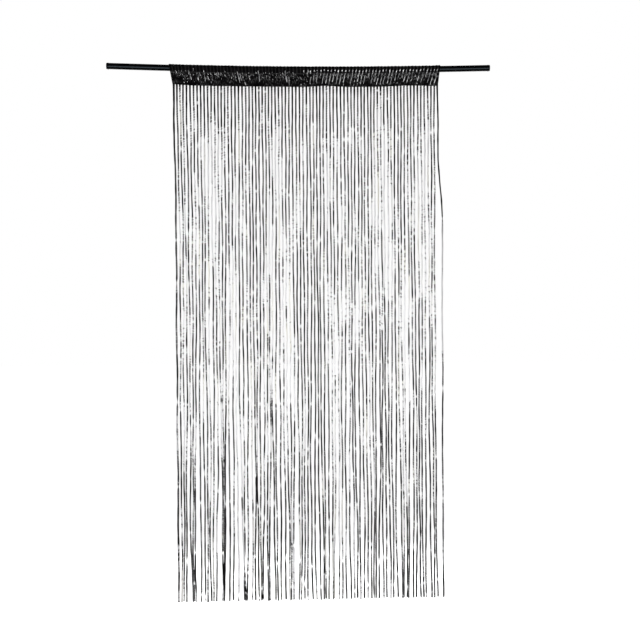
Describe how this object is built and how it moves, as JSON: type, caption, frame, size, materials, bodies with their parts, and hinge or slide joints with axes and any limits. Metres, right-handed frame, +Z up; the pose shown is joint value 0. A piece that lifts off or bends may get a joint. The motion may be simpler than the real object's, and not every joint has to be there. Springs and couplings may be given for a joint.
{
  "type": "string curtain on rod",
  "caption": "Curtain of loose black and silver tape strings under a ribbed knitted heading, hung by its pocket on a plain round rod.",
  "frame": {"origin": "centre of the rod's left end face, seen from the front", "axes": "+X along the rod from its left end to its right end, +Z up, -Y towards the room"},
  "size_m": [1.432, 0.0282, 2.0025],
  "materials": {
    "rod_enamel": "gloss black enamel",
    "heading_knit": "black warp knit with silver thread",
    "string_tape": "flat black tape with silver thread"
  },
  "bodies": {
    "root": {"rod": "rod_enamel", "heading": "heading_knit", "strings": "string_tape"}
  },
  "joints": []
}
